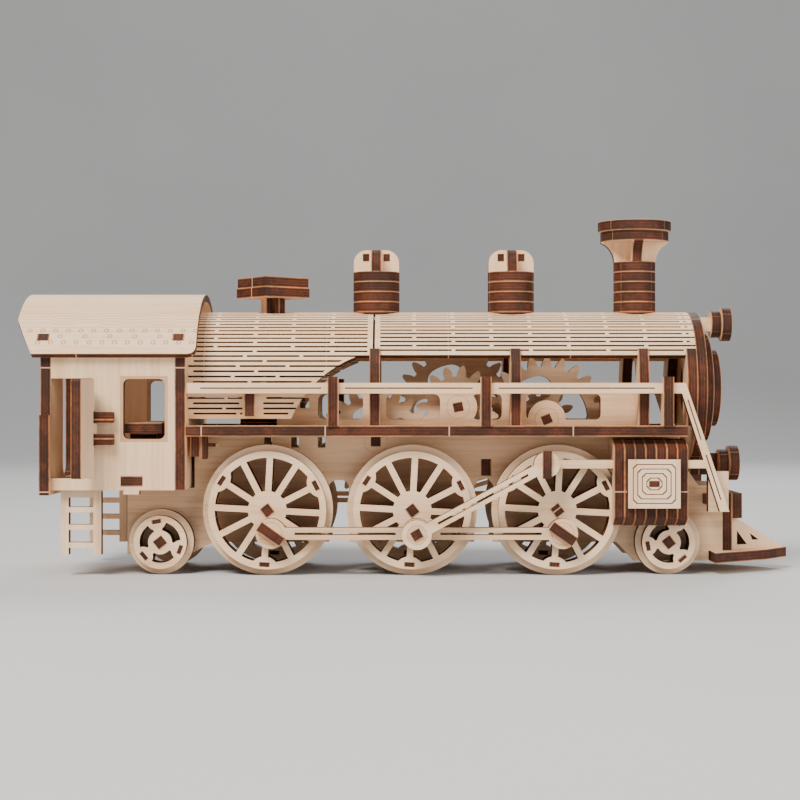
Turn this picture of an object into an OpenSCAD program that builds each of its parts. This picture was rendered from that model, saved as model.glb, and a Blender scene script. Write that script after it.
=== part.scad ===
// Steam locomotive puzzle model, laser-cut from plywood sheet.
// Origin: on the ground under the middle of the model. +X is the front, +Z is up.

/* [Sheet] */
// Thickness of the plywood sheet
ply = 4; // [3.6:0.1:4]
// Thickness of the bent sheets of the boiler and roof
skin_t = 3; // [2:0.1:3]
// Running clearance between turning pieces
gap = 0.1; // [0.05:0.05:0.15]

/* [Wheels] */
// Radius of the flanged drive wheel
drive_r = 25; // [24:0.5:25]
// Radius of the spoked disc in front of the flange
tyre_r = 22.6; // [22:0.2:23]
// Distance between two drive axles
wheelbase = 55.5; // [54:0.5:56]
// Distance from the axle to the crank pin
crank_r = 8.8; // [8:0.1:9]
// Radius of the small leading and trailing wheels
small_r = 12.5; // [12:0.5:12.5]

/* [Boiler] */
// Radius of the boiler skin
boiler_r = 30.2; // [29:0.2:30.4]
// Height of the boiler axis
boiler_z = 72; // [71:0.5:73]
// Height of the lower edge of the front skin
skin_edge_z = 84.5; // [84:0.5:86]

/* [Cab] */
// Rear end of the cab side
cab_back = -136.4; // [-137:0.2:-136]
// Rear face of the cab front wall
cab_front = -89.4; // [-90:0.2:-89]
// Height of the roof crown
roof_top = 109.2; // [108:0.2:110]
// How far the doors stand open
door_open = 78; // [60:1:85]

/* [Hidden] */
$fn = 96;
wood = "burlywood";
pale = "wheat";
dark = "saddlebrown";

// Planes across the width, measured outwards from the middle
frame_y = 15;
flange_y = 22.5;
tyre_y = flange_y + ply;
rod_y = 31;
key_y = rod_y + ply + 0.2;
outer_rod_y = 37.4;
small_wheel_y = 19.6;
board_edge = 37;
cab_y = 33;
rail_y = 32;
rail_z = 69.7;

// Places along the length
drive_x = [-54.9, -54.9 + wheelbase, -54.9 + 2 * wheelbase];
drive_z = drive_r;
leading_x = 99.2;
trailing_x = -96.3;
crank_right = -79;
crank_left = crank_right + 90;
rod_length = 55.6;
piston_z = 42.8;
winder_x = drive_x[0];
boiler_back = cab_front + ply;
skin_joint = -14.2;
skin_front = 109.8;
former_x = [-13.8, 40.2, 89.3, 107.8];
board_z = 53.4;
board_top = board_z + ply;
boiler_top = boiler_z + boiler_r;
board_front = 104.9;
frame_front = 121.4;
base_z = 4.6;
bush_r = 4.45;
small_bush_r = 3.5;
axle_w = 4;

// Gear train
gear_module = 1.9333;
pressure = 25;
backlash = 0.35;
mesh_distance = gear_module * 18;
shaft_d_at = [drive_x[2], drive_z];
shaft_c_at = shaft_d_at + polar(mesh_distance, 95.1);
shaft_b_at = shaft_c_at + polar(mesh_distance, 172.1);
shaft_a_at = shaft_b_at + polar(mesh_distance, 202.75);
turn_a = 0;
turn_b = 12;
turn_c = 22;
axle_turn = 38;
layer_ab = -14;
layer_bc = 4;
layer_cd = -8;

// Roof arc, from its crown and its eaves
eave_z = 84.6;
eave_y = 40.4;
roof_rise = roof_top - eave_z;
roof_r = (eave_y * eave_y + roof_rise * roof_rise) / (2 * roof_rise);
roof_z = roof_top - roof_r;
roof_back = -150.3;
roof_front = -81.3;

// Doors
door_x = -120.5;
door_y = cab_y + ply + 2.2;
door_free_x = cab_back + 0.4;
door_low = 38;
door_high = 75;
knuckle_z = [50.2, 54.4, 58.6];

// ---------- helpers ----------

// A sheet lying across Y, from y to y + t, with its outline in X and Z
module sheet_y(y, t = ply) {
    translate([0, y + t, 0]) rotate([90, 0, 0]) linear_extrude(t) children();
}

// A sheet lying across X, from x to x + t, with its outline in Y and Z
module sheet_x(x, t = ply) {
    translate([x, 0, 0]) rotate([90, 0, 90]) linear_extrude(t) children();
}

// A sheet lying flat, from z to z + t
module sheet_z(z, t = ply) {
    translate([0, 0, z]) linear_extrude(t) children();
}

// The same piece on the right and on the left
module both_sides() {
    children();
    mirror([0, 1, 0]) children();
}

// A sheet across Y at distance y outwards: side -1 is the right, 1 is the left
module side_sheet(side, y, t = ply) {
    sheet_y(side < 0 ? -y - t : y, t) children();
}

module rect(x0, y0, x1, y1) {
    translate([x0, y0]) square([x1 - x0, y1 - y0]);
}

module round_rect(x0, y0, x1, y1, r) {
    rect(x0 + r, y0, x1 - r, y1);
    rect(x0, y0 + r, x1, y1 - r);
    for (x = [x0 + r, x1 - r], y = [y0 + r, y1 - r]) translate([x, y]) circle(r, $fn = 32);
}

// A disc with eased edges, standing on z = 0
module eased_disc(r, t = ply, ease = 0.25) {
    rotate_extrude() polygon([[0, 0], [r - ease, 0], [r, ease], [r, t - ease], [r - ease, t], [0, t]]);
}

module disc_x(x, y, z, r, t = ply) {
    translate([x, y, z]) rotate([0, 90, 0]) eased_disc(r, t);
}

function polar(r, a) = [r * cos(a), r * sin(a)];
function angle_to(p, q) = atan2(q[1] - p[1], q[0] - p[0]);
function crank_angle(side) = side < 0 ? crank_right : crank_left;
function pin_at(i, side) = [drive_x[i], drive_z] + polar(crank_r, crank_angle(side));

// ---------- gears ----------

function involute(rb, t) = [
    rb * (cos(t) + t * PI / 180 * sin(t)),
    rb * (sin(t) - t * PI / 180 * cos(t))
];
function roll_at(rb, r) = r <= rb ? 0 : sqrt(r * r / (rb * rb) - 1) * 180 / PI;
function inv_angle(rb, r) = roll_at(rb, r) - atan(roll_at(rb, r) * PI / 180);
function turn(p, a) = [p[0] * cos(a) - p[1] * sin(a), p[0] * sin(a) + p[1] * cos(a)];

// One flank of a tooth, from the root to the tip, side 1 or -1
function flank(teeth, side) =
    let (
        rp = gear_module * teeth / 2,
        rb = rp * cos(pressure),
        ra = rp + 0.9 * gear_module,
        rr = rp - 1.25 * gear_module,
        half = 90 / teeth - backlash / rp * 90 / PI / 2 + inv_angle(rb, rp),
        t1 = roll_at(rb, ra),
        t0 = roll_at(rb, rr),
        steps = 5
    )
    concat(
        rr < rb ? [polar(rr, -side * half)] : [],
        [for (i = [0:steps])
            let (p = involute(rb, t0 + (t1 - t0) * i / steps))
            turn([p[0], side * p[1]], -side * half)]
    );

function reversed(list) = [for (i = [len(list) - 1:-1:0]) list[i]];

function tooth(teeth, at) = [
    for (p = concat(flank(teeth, 1), reversed(flank(teeth, -1)))) turn(p, at)
];

// A gear outline about the origin, with one tooth pointing at angle at
module gear_outline(teeth, at = 0) {
    polygon([for (i = [0:teeth - 1]) each tooth(teeth, at + i * 360 / teeth)]);
}

// Rounded windows between the arms of a large gear
module gear_windows(r0, r1, count, at) {
    mid = (r0 + r1) / 2;
    half = (r1 - r0) / 2;
    spread = 12;
    for (i = [0:count - 1]) rotate(at + i * 360 / count) {
        intersection() {
            difference() {
                circle(r1);
                circle(r0);
            }
            polygon([[0, 0], polar(2 * r1, -spread), polar(2 * r1, spread)]);
        }
        for (a = [-spread, spread]) translate(polar(mid, a)) circle(half, $fn = 32);
    }
}

module gear(y, at, teeth, tooth_at, turned, windows = 0) {
    sheet_y(y) translate(at) difference() {
        gear_outline(teeth, tooth_at);
        rotate(turned) square(axle_w, center = true);
        if (windows > 0) gear_windows(7.5, gear_module * teeth / 2 - 6, windows, 20);
    }
}

// A square shaft with a round bush in each frame plate
module shaft(at, half_length, turned, bush = bush_r) {
    sheet_y(-half_length, 2 * half_length) translate(at)
        rotate(turned) square(axle_w, center = true);
    both_sides() sheet_y(frame_y) translate(at) circle(bush);
}

// ---------- frame ----------

module panel_windows() {
    window_low = 59.6;
    window_high = 69.5;
    round_rect(-36, window_low, -18.5, window_high, 2.5);
    round_rect(-9.5, window_low, 11.5, window_high, 2.5);
    difference() {
        round_rect(24, window_low, 35.5, window_high, 2);
        translate(shaft_b_at) circle(7.4);
    }
    difference() {
        round_rect(45, window_low, 74, window_high, 2);
        translate(shaft_c_at) circle(7.4);
    }
    rect(-43, 64, -39.5, 68);
    for (x = [-56.9, -46.4, -36]) rect(x, 48.7, x + 2.9, 52.7);
}

module frame_outline() {
    bottom = 12;
    difference() {
        polygon([
            [-110.2, 7.2], [-86, 7.2], [-76.5, bottom], [80, bottom], [87, 4.7], [116, 4.7],
            [116, base_z + ply], [frame_front, base_z + ply], [frame_front, 34], [112, 34],
            [board_front, 44], [board_front, board_z], [90, board_z], [90, 71], [-48, 71],
            [-52, 66], [-52, board_z], [-84, board_z], [-84, 33], [-110.2, 33]
        ]);
        round_rect(-31.7, 0, -23.9, 36, 3);
        polygon([[24.9, 0], [24.9, 34], [27, 36.6], [30.2, 36.6], [32.3, 34], [32.3, 0]]);
        // Slot for the middle stay
        rect(27.35, 37.75, 31.45, 44.25);
        panel_windows();
        for (x = drive_x) translate([x, drive_z]) circle(bush_r + gap);
        for (at = [shaft_a_at, shaft_b_at, shaft_c_at]) translate(at) circle(bush_r + gap);
        for (x = [leading_x, trailing_x]) translate([x, small_r]) circle(small_bush_r + gap);
    }
}

module frame_plate(side) {
    color(wood) side_sheet(side, frame_y) frame_outline();
}

module frame_right() { frame_plate(-1); }
module frame_left() { frame_plate(1); }

module frame_stays() {
    inner = frame_y - 0.05;
    bracket_x = 113.6;
    lever_x = -84;
    color(wood) {
        sheet_x(-108) rect(-inner, 22, inner, 32.9);
        sheet_x(-83) rect(-inner, 16, inner, board_z - 0.1);
        sheet_x(80) rect(-inner, 15, inner, 68);
        sheet_x(104) rect(-inner, 34, inner, 41);
        sheet_z(board_z) rect(-69, -inner, -40, inner);
        // Arm that carries the lower lamp
        sheet_y(-ply / 2) {
            rect(108, 37.4, 122.6, 41.4);
            rect(114.2, 37.4, 122.6, 46);
        }
        both_sides() {
            // Ends of the middle stay, showing through the frame plate
            translate([27.4, 9, 37.8]) cube([4, frame_y + ply - 9 - 0.05, 6.4]);
            // Foot of the handrail strut
            side_sheet(1, rail_y - ply) rect(bracket_x, 24.5, 121.3, 40);
            translate([bracket_x, frame_y + ply, 27]) cube([6, rail_y - 2 * ply - frame_y, ply]);
            // Small stop lever under the running board
            sheet_x(lever_x, 3.6) rect(24, 45.6, 33, board_z - 0.1);
            sheet_x(lever_x + 4, 1.8) rect(24, 44.6, 34, board_z - 0.1);
            sheet_z(49.4, 1.2) rect(lever_x + 4, 26, lever_x + 10, 32);
        }
    }
}

module running_boards() {
    color(wood) both_sides() sheet_z(board_z)
        rect(boiler_back + 0.1, frame_y + ply + 0.05, board_front, board_edge);
}

module strut_outline() {
    polygon([[101.7, 73.7], [104.4, 73.7], [120.9, 24.8], [117.4, 24.8]]);
}

// Lines engraved along the middle of the rail and of its strut
module rail_lines() {
    half = 0.25;
    spans = [[-80, -34], [-25, 23.5], [33.3, 92.6]];
    strut_middle = [111.1, 49.25];
    strut_tilt = -71.8;
    for (s = spans) rect(s[0], rail_z + 2 - half, s[1], rail_z + 2 + half);
    translate(strut_middle) rotate(strut_tilt) {
        rect(-19, -half, -3, half);
        rect(3, -half, 21, half);
    }
}

module handrails() {
    line_depth = 0.35;
    color(pale) both_sides() difference() {
        sheet_y(rail_y) union() {
            rect(boiler_back + 0.1, rail_z, 103.4, rail_z + ply);
            strut_outline();
            // Finger that reaches the front of the cylinder
            rect(105.2, 41.3, 113, 44.4);
        }
        sheet_y(rail_y + ply - line_depth, 1) rail_lines();
    }
}

module rail_posts() {
    post_x = [-29.5, 28.5, 97.6];
    color(wood) both_sides() {
        difference() {
            for (x = post_x) sheet_x(x - ply / 2) rect(31, board_top, board_edge + 1, 76);
            sheet_y(rail_y - 0.05, ply + 0.1) rect(-200, 69.6, 200, 73.8);
        }
        // Clip that holds the lower edge of the rear skin
        difference() {
            sheet_x(-63.5) rect(boiler_r - 6, 61, boiler_r + 2.4, 69.5);
            translate([-100, 0, boiler_z]) rotate([0, 90, 0]) cylinder(h = 100, r = boiler_r + 0.05);
        }
    }
}

// ---------- cab ----------

module roof_arc(r) { translate([0, roof_z]) circle(r); }

module wall_outline(low, half) {
    intersection() {
        rect(-half, low, half, roof_top);
        union() {
            roof_arc(roof_r - skin_t - 0.1);
            rect(-half, low, half, 83.9);
        }
    }
}

module cab_floor() {
    color(wood) sheet_z(33)
        rect(cab_back + 0.05, -cab_y + 0.05, cab_front - 0.05, cab_y - 0.05);
}

module cab_side(side) {
    floor_z = 33;
    door_top = 75.4;
    color(pale) side_sheet(side, cab_y) difference() {
        union() {
            rect(cab_back + 0.05, floor_z, cab_front - 0.05, 83.9);
            rect(-109, floor_z - 1.6, -103, floor_z + 1);
        }
        rect(cab_back - 1, 37.5, door_x, door_top);
        round_rect(-109, 52.4, -93.2, 75.2, 2.2);
        rect(-110, 34.4, -101.6, 38.4);
    }
}

module cab_side_right() { cab_side(-1); }
module cab_side_left() { cab_side(1); }

module cab_front_wall() {
    color(wood) sheet_x(cab_front) difference() {
        wall_outline(33.2, cab_y + ply);
        for (s = [-1, 1]) translate([s * 22, 69]) round_rect(-6, -8, 6, 8, 2);
    }
}

module cab_rear_wall() {
    color(wood) sheet_x(cab_back - ply) difference() {
        union() {
            wall_outline(31.2, cab_y + ply);
            rect(-40, 31.2, 40, 61.5);
        }
        round_rect(-13, 37, 13, 84, 6);
    }
}

module cab_roof() {
    color(pale) intersection() {
        sheet_x(roof_back, roof_front - roof_back) difference() {
            intersection() {
                roof_arc(roof_r);
                rect(-60, eave_z, 60, 200);
            }
            roof_arc(roof_r - skin_t);
        }
        // Rear corners cut at a slant, front corners eased
        sheet_y(-60, 120) polygon([
            [roof_back, 98], [roof_back + 7, eave_z - 1], [roof_front - 3, eave_z - 1],
            [roof_front, eave_z + 3], [roof_front, 200], [roof_back, 200]
        ]);
    }
}

module cab_bench() {
    leg_y = 22;
    color(wood) {
        sheet_z(54.5) rect(-111, -cab_y + 0.05, -95, cab_y - 0.05);
        both_sides() sheet_y(leg_y) rect(-108, 37, -98, 54.5);
    }
}

module knuckle_outline(x0, x1, y1) {
    difference() {
        union() {
            rect(x0, cab_y + ply, x1, y1);
            translate([door_x, door_y]) circle(2.1);
        }
        rect(-200, 0, door_x, 100);
    }
    difference() {
        translate([door_x, door_y]) circle(2.1);
        rect(door_x, 0, 0, 100);
    }
}

module hinge_knuckles() {
    color(dark) both_sides() {
        for (z = [knuckle_z[0], knuckle_z[2]])
            sheet_z(z + 0.05, ply) knuckle_outline(door_x, -112.3, door_y + 2);
        translate([door_x, door_y, knuckle_z[0] - 1.2]) cylinder(h = 14.4, r = 1.1);
    }
}

// The door closed, on the left, about its own hinge line
module door_leaf() {
    length = door_x - door_free_x;
    difference() {
        sheet_y(-ply / 2) round_rect(-length, door_low, -2.6, door_high, 1);
        // Room for the side knuckles
        for (z = [knuckle_z[0], knuckle_z[2]])
            translate([-3.4, -10, z - 0.2]) cube([10, 20, ply + 0.5]);
    }
    difference() {
        sheet_z(knuckle_z[1] + 0.1, ply - 0.1) {
            circle(2.1);
            rect(-7, -2, 0, 2);
        }
        translate([0, 0, 40]) cylinder(h = 40, r = 1.1 + gap);
    }
}

module door_left() {
    color(pale) translate([door_x, door_y, 0]) rotate([0, 0, -door_open]) door_leaf();
}

module door_right() { mirror([0, 1, 0]) door_left(); }

module ladders() {
    top = 33;
    foot = 8.2;
    color(wood) both_sides() sheet_y(cab_y - ply - 0.1) {
        for (x = [-133.4, -121]) rect(x, foot, x + 3, top);
        for (z = [10.9, 17.7, 24.4]) rect(-133.4, z, -118, z + 2);
        rect(-133.4, 30, -118, top);
    }
}

// ---------- boiler ----------

module boiler_circle(r) { translate([0, boiler_z]) circle(r); }

module former(x) {
    inner = 20.2;
    sheet_x(x - ply / 2) difference() {
        union() {
            boiler_circle(boiler_r - skin_t - 0.1);
            intersection() {
                boiler_circle(boiler_r + 1.4);
                rect(-60, 0, 60, 87);
            }
            rect(-boiler_r - 0.6, board_top + 0.05, boiler_r + 0.6, boiler_z);
        }
        // Open middle, where the gears turn
        boiler_circle(inner);
        rect(-inner, 0, inner, boiler_z);
        rect(-100, 0, 100, board_top + 0.05);
        // Slot that the skin slides into
        difference() {
            boiler_circle(boiler_r + 0.1);
            boiler_circle(boiler_r - skin_t - 0.1);
            rect(-60, 0, 60, skin_edge_z - 0.1);
        }
    }
}

module boiler_formers() {
    color(dark) for (x = former_x) former(x);
}

module skin(x0, x1, low) {
    sheet_x(x0, x1 - x0) intersection() {
        difference() {
            boiler_circle(boiler_r);
            boiler_circle(boiler_r - skin_t);
        }
        rect(-60, low, 60, 200);
    }
}

module boiler_skin_front() {
    color(pale) skin(skin_joint + 0.4, skin_front, skin_edge_z);
}

module boiler_skin_rear() {
    low = 60;
    sweep_r = 45.6;
    color(pale) difference() {
        skin(boiler_back + 0.05, skin_joint - 0.4, low);
        // The swept opening below the joint
        sheet_y(-50, 100) intersection() {
            translate([-4.3, 41.4]) circle(sweep_r);
            rect(-60, 0, 60, skin_edge_z);
        }
        // Hole for the winding post
        translate([winder_x, 0, 60]) cylinder(h = 60, r = 5.3);
    }
}

module smokebox_rings() {
    inner_r = 12;
    color(dark) sheet_x(skin_front + 0.05, ply - 0.05) difference() {
        boiler_circle(boiler_r);
        boiler_circle(inner_r);
    }
    color(dark) disc_x(skin_front + ply, 0, boiler_z, 21.6);
}

module smokebox_door() {
    color(dark) disc_x(skin_front + 2 * ply, 0, boiler_z, 15.2);
}

module lamps() {
    lamp_z = 97.4;
    lamp_x = 119.7;
    buffer_z = 42.1;
    color(dark) {
        sheet_y(-ply / 2) rect(skin_front + ply, lamp_z - 2.8, lamp_x, lamp_z + 2.8);
        disc_x(lamp_x, 0, lamp_z, 5.3);
        disc_x(lamp_x + ply, 0, lamp_z, 6.7);
        disc_x(122.7, 0, buffer_z, 5.4);
        disc_x(122.7 + ply, 0, buffer_z, 6.9);
    }
}

// ---------- chimney, domes and winder ----------

module stack_of_rings(x, r, count) {
    difference() {
        union() {
            translate([x, 0, boiler_top - 4]) cylinder(h = 4.2, r = r - 0.25);
            for (i = [0:count - 1]) translate([x, 0, boiler_top + i * ply]) eased_disc(r);
        }
        translate([-200, 0, boiler_z]) rotate([0, 90, 0]) cylinder(h = 400, r = boiler_r + 0.05);
    }
}

chimney_x = 89.6;
chimney_count = 5;
flare_z = boiler_top + chimney_count * ply;
flare_h = 8;
dome_x = [-13.5, 40.2];
dome_r = 9.2;
dome_count = 4;
dome_z = boiler_top + dome_count * ply;

module chimney_rings() {
    color(dark) stack_of_rings(chimney_x, 8.3, chimney_count);
}

module flare_outline() {
    difference() {
        rect(-13.4, flare_z, 13.4, flare_z + flare_h);
        for (s = [-1, 1]) translate([s * 16.4, flare_z]) circle(8.1);
    }
}

module chimney_flare() {
    color(wood) translate([chimney_x, 0, 0]) {
        sheet_y(-ply / 2) flare_outline();
        sheet_x(-ply / 2) flare_outline();
    }
}

module chimney_cap() {
    color(dark) translate([chimney_x, 0, flare_z + flare_h]) {
        eased_disc(13.5);
        translate([0, 0, ply]) eased_disc(14.5);
    }
}

module dome_rings() {
    color(dark) for (x = dome_x) stack_of_rings(x, dome_r, dome_count);
}

module dome_cap_outline() {
    shoulder = 5.2;
    half = 9;
    height = 8.7;
    intersection() {
        union() {
            rect(-half, dome_z, half, dome_z + height - shoulder);
            rect(shoulder - half, dome_z, half - shoulder, dome_z + height);
            for (s = [-1, 1])
                translate([s * (half - shoulder), dome_z + height - shoulder]) circle(shoulder);
        }
        rect(-half, dome_z, half, dome_z + height);
    }
}

module dome_caps() {
    color(pale) for (x = dome_x) translate([x, 0, 0]) {
        sheet_y(-ply / 2) dome_cap_outline();
        sheet_x(-ply / 2) dome_cap_outline();
    }
}

barrel_r = 13;
barrel_h = 13;
post_low = board_top + 1.2;
handle_z = 107.8;
handle_turn = 37;

module post_outline() {
    square([9, ply], center = true);
    square([ply, 9], center = true);
}

module spring_barrel() {
    wall = 1.6;
    color(wood) translate([winder_x, 0, board_top]) difference() {
        cylinder(h = barrel_h, r = barrel_r);
        translate([0, 0, 1]) cylinder(h = barrel_h - 2, r = barrel_r - wall);
        cylinder(h = barrel_h + 1, r = 5.3);
    }
}

module winding_post() {
    color(dark) translate([winder_x, 0, post_low]) rotate(handle_turn)
        linear_extrude(handle_z - post_low) post_outline();
}

module winding_handle() {
    side = 21;
    color(wood) translate([winder_x, 0, handle_z]) rotate(handle_turn)
        translate([-side / 2, -side / 2, 0]) {
            cube([side, side, ply]);
            translate([0.3, 0.3, ply]) cube([side - 0.6, side - 0.6, ply]);
        }
}

// ---------- cylinders and front end ----------

cylinder_x = 77;
cylinder_z = 35.7;
cylinder_plates = 7;
cylinder_flat = 37.5;

module cylinder_outline() {
    difference() {
        intersection() {
            translate([27, cylinder_z]) circle(16.7);
            rect(frame_y + ply + 0.1, 0, cylinder_flat, 100);
        }
        // Clear of the leading wheels
        rect(0, 0, small_wheel_y + 2 * ply + 0.6, 27);
        // Bore for the piston rod
        translate([rod_y + 2, piston_z]) square(3.8, center = true);
    }
}

module cylinders() {
    groove = 0.25;
    color(dark) both_sides() difference() {
        sheet_x(cylinder_x, cylinder_plates * ply) cylinder_outline();
        // Clear of the front drive wheel
        sheet_y(frame_y, tyre_y + ply + 0.4 - frame_y)
            translate([drive_x[2], drive_z]) circle(drive_r + 0.4);
        // Line between two plates
        for (i = [1:cylinder_plates - 1])
            sheet_x(cylinder_x + i * ply - groove / 2, groove) difference() {
                rect(0, 0, 60, 60);
                translate([27, cylinder_z]) circle(16.4);
            }
    }
}

module valve_plates() {
    x0 = 81.8;
    z0 = 26.4;
    w = 19.7;
    h = 18.4;
    line = 0.35;
    color(pale) both_sides() difference() {
        sheet_y(cylinder_flat) rect(x0, z0, x0 + w, z0 + h);
        // Engraved rings
        for (i = [1:4]) sheet_y(cylinder_flat + ply - 0.3, 1) difference() {
            engraved_ring(x0, z0, w, h, 1.7 * i);
            engraved_ring(x0, z0, w, h, 1.7 * i + line);
        }
    }
}

module engraved_ring(x0, z0, w, h, inset) {
    c = 1.4;
    polygon([
        [x0 + inset + c, z0 + inset], [x0 + w - inset - c, z0 + inset],
        [x0 + w - inset, z0 + inset + c], [x0 + w - inset, z0 + h - inset - c],
        [x0 + w - inset - c, z0 + h - inset], [x0 + inset + c, z0 + h - inset],
        [x0 + inset, z0 + h - inset - c], [x0 + inset, z0 + inset + c]
    ]);
}

beam_half = 17;
beam_low = 21.1;

module front_beam() {
    color(dark) {
        sheet_x(frame_front + 0.05) rect(-beam_half, base_z + ply + 0.05, beam_half, beam_low + 9.7);
        sheet_x(frame_front + ply + 0.05) rect(-beam_half, beam_low, beam_half, beam_low + 9.7);
    }
}

pilot_tip = 150.3;

module pilot_base() {
    color(wood) sheet_z(base_z)
        polygon([[116.6, -30], [139.5, -13], [pilot_tip, 0], [139.5, 13], [116.6, 30]]);
}

module pilot_side_outline(length, height) {
    difference() {
        polygon([[0, 0], [length, 0], [2.5, height], [0, height]]);
        polygon([[3, 1.8], [8.2, 1.8], [3, 7.4]]);
        polygon([[11, 3.4], [14.4, 3.4], [9.6, 6.2]]);
    }
}

module pilot_sides() {
    reach = 25.2;
    length = 28.4;
    color(wood) both_sides() translate([125.6, 14.6, base_z + ply])
        rotate([90, 0, -atan(14.6 / (reach - 1.2))]) linear_extrude(2)
            pilot_side_outline(length - 1.4, beam_low - base_z - ply);
}

// ---------- wheels ----------

spoke_turn = -3;
lug_at = [27, 147, 267];

// Spoked disc about its axle, with a boss for the crank pin
module spoked_outline(r, side) {
    rim_inner = 20.1;
    difference() {
        intersection() {
            circle(r);
            union() {
                difference() {
                    circle(r + 1);
                    circle(rim_inner);
                }
                circle(7.4);
                for (i = [0:11]) rotate(spoke_turn + 30 * i) rect(0, -1.2, rim_inner + 0.5, 1.2);
                for (a = lug_at) rotate(a) translate([23.5, 0]) circle(5.8);
                translate(polar(crank_r, crank_angle(side))) circle(5.2);
            }
        }
        rotate(axle_turn) square(axle_w, center = true);
        for (a = lug_at) rotate(a) translate([20.8, 0]) square([1.8, 4.1], center = true);
    }
}

module drive_wheels(i) {
    color(wood) for (side = [-1, 1]) {
        side_sheet(side, flange_y) translate([drive_x[i], drive_z]) spoked_outline(drive_r, side);
        side_sheet(side, tyre_y) translate([drive_x[i], drive_z]) spoked_outline(tyre_r, side);
    }
}

module drive_axle(i) {
    color(dark) {
        shaft([drive_x[i], drive_z], tyre_y + ply + 0.4, axle_turn);
        both_sides() sheet_y(frame_y + ply + 0.2, flange_y - frame_y - ply - 0.2)
            translate([drive_x[i], drive_z]) circle(bush_r + 1.5);
    }
}

// Crank pins with their keys, or with the big end bush on the middle axle
module crank_pins(i) {
    pin_r = 4.2;
    start = tyre_y + ply;
    color(wood) for (side = [-1, 1]) {
        side_sheet(side, start, key_y - start) translate(pin_at(i, side)) circle(pin_r);
        if (i == 1) {
            side_sheet(side, key_y, outer_rod_y - key_y) translate(pin_at(i, side)) circle(pin_r + 1);
            side_sheet(side, outer_rod_y, ply + 0.1) translate(pin_at(i, side)) circle(3.6);
            side_sheet(side, outer_rod_y + ply, 0.6) translate(pin_at(i, side))
                rotate(30) square(3.8, center = true);
        } else {
            side_sheet(side, key_y, 2) translate(pin_at(i, side))
                rotate(-35) square([10.5, 4], center = true);
        }
    }
}

module rear_drive_axle() { drive_axle(0); }
module middle_drive_axle() { drive_axle(1); }
module front_drive_axle() { drive_axle(2); }
module rear_drive_wheels() { drive_wheels(0); }
module middle_drive_wheels() { drive_wheels(1); }
module front_drive_wheels() { drive_wheels(2); }
module rear_crank_pins() { crank_pins(0); }
module middle_crank_pins() { crank_pins(1); }
module front_crank_pins() { crank_pins(2); }

// Small wheel with three arc windows and three slotted lobes
module small_outline(r, turned) {
    difference() {
        intersection() {
            circle(r);
            union() {
                difference() {
                    circle(r + 1);
                    circle(7.9);
                }
                circle(4.6);
                for (a = [0, 120, 240]) rotate(turned + a) {
                    translate([8.4, 0]) circle(3.7);
                    rect(0, -1.6, 8, 1.6);
                }
            }
        }
        rotate(axle_turn) square(axle_w, center = true);
        for (a = [0, 120, 240]) rotate(turned + a)
            translate([8.1, 0]) square([1.6, 3.8], center = true);
    }
}

module small_wheelset(x, turned) {
    color(wood) {
        both_sides() translate([x, 0, small_r]) {
            sheet_y(small_wheel_y) small_outline(small_r, turned);
            sheet_y(small_wheel_y + ply) small_outline(10.2, turned);
        }
        shaft([x, small_r], small_wheel_y + 2 * ply + 0.3, axle_turn, small_bush_r);
    }
}

module leading_wheelset() { small_wheelset(leading_x, 70); }
module trailing_wheelset() { small_wheelset(trailing_x, 100); }

// ---------- rods ----------

function joint_x(side) =
    let (pin = pin_at(1, side))
    pin[0] + sqrt(pow(rod_length, 2) - pow(piston_z - pin[1], 2));

module coupling_rod(side) {
    slot = 0.9;
    color(pale) side_sheet(side, rod_y) translate(pin_at(1, side)) difference() {
        union() {
            for (x = [-wheelbase, 0, wheelbase]) translate([x, 0]) circle(5.8);
            rect(-wheelbase, -2.3, wheelbase, 2.3);
        }
        for (x = [-wheelbase, 0, wheelbase]) translate([x, 0]) circle(4.3);
        for (x = [-wheelbase, 0]) rect(x + 9, -slot / 2, x + wheelbase - 8, slot / 2);
    }
}

module connecting_rod(side) {
    slot = 0.9;
    small_end = [joint_x(side), piston_z];
    tilt = angle_to(pin_at(1, side), small_end);
    color(pale) {
        side_sheet(side, outer_rod_y) translate(pin_at(1, side)) rotate(tilt) difference() {
            union() {
                circle(5.6);
                translate([rod_length, 0]) circle(4.9);
                rect(0, -2.1, rod_length, 2.1);
            }
            circle(3.7);
            rect(9, -slot / 2, rod_length - 8, slot / 2);
        }
        side_sheet(side, outer_rod_y + ply, 1.2)
            translate(small_end) square([3.5, 10.4], center = true);
    }
}

module piston_rod(side) {
    reach = 38.8;
    color(pale) {
        side_sheet(side, rod_y + 0.3, 3.4) translate([joint_x(side), piston_z]) {
            circle(2.2);
            rect(0, -1.6, reach, 1.6);
        }
        side_sheet(side, rod_y + 3, outer_rod_y - rod_y - 3.2)
            translate([joint_x(side), piston_z]) circle(1.9);
    }
}

module coupling_rod_right() { coupling_rod(-1); }
module coupling_rod_left() { coupling_rod(1); }
module connecting_rod_right() { connecting_rod(-1); }
module connecting_rod_left() { connecting_rod(1); }
module piston_rod_right() { piston_rod(-1); }
module piston_rod_left() { piston_rod(1); }

// ---------- gear train ----------

module gear_shaft(at, turned) {
    color(dark) shaft(at, frame_y + ply, turned);
}

module shaft_a() { gear_shaft(shaft_a_at, turn_a); }
module shaft_b() { gear_shaft(shaft_b_at, turn_b); }
module shaft_c() { gear_shaft(shaft_c_at, turn_c); }

module gear_a() {
    toward = angle_to(shaft_a_at, shaft_b_at);
    color(wood) gear(layer_ab, shaft_a_at, 21, toward + 180 / 21, turn_a, 4);
}

module gears_b() {
    color(wood) {
        gear(layer_ab, shaft_b_at, 15, angle_to(shaft_b_at, shaft_a_at), turn_b);
        gear(layer_bc, shaft_b_at, 24, angle_to(shaft_b_at, shaft_c_at) + 180 / 24, turn_b, 4);
    }
}

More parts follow.
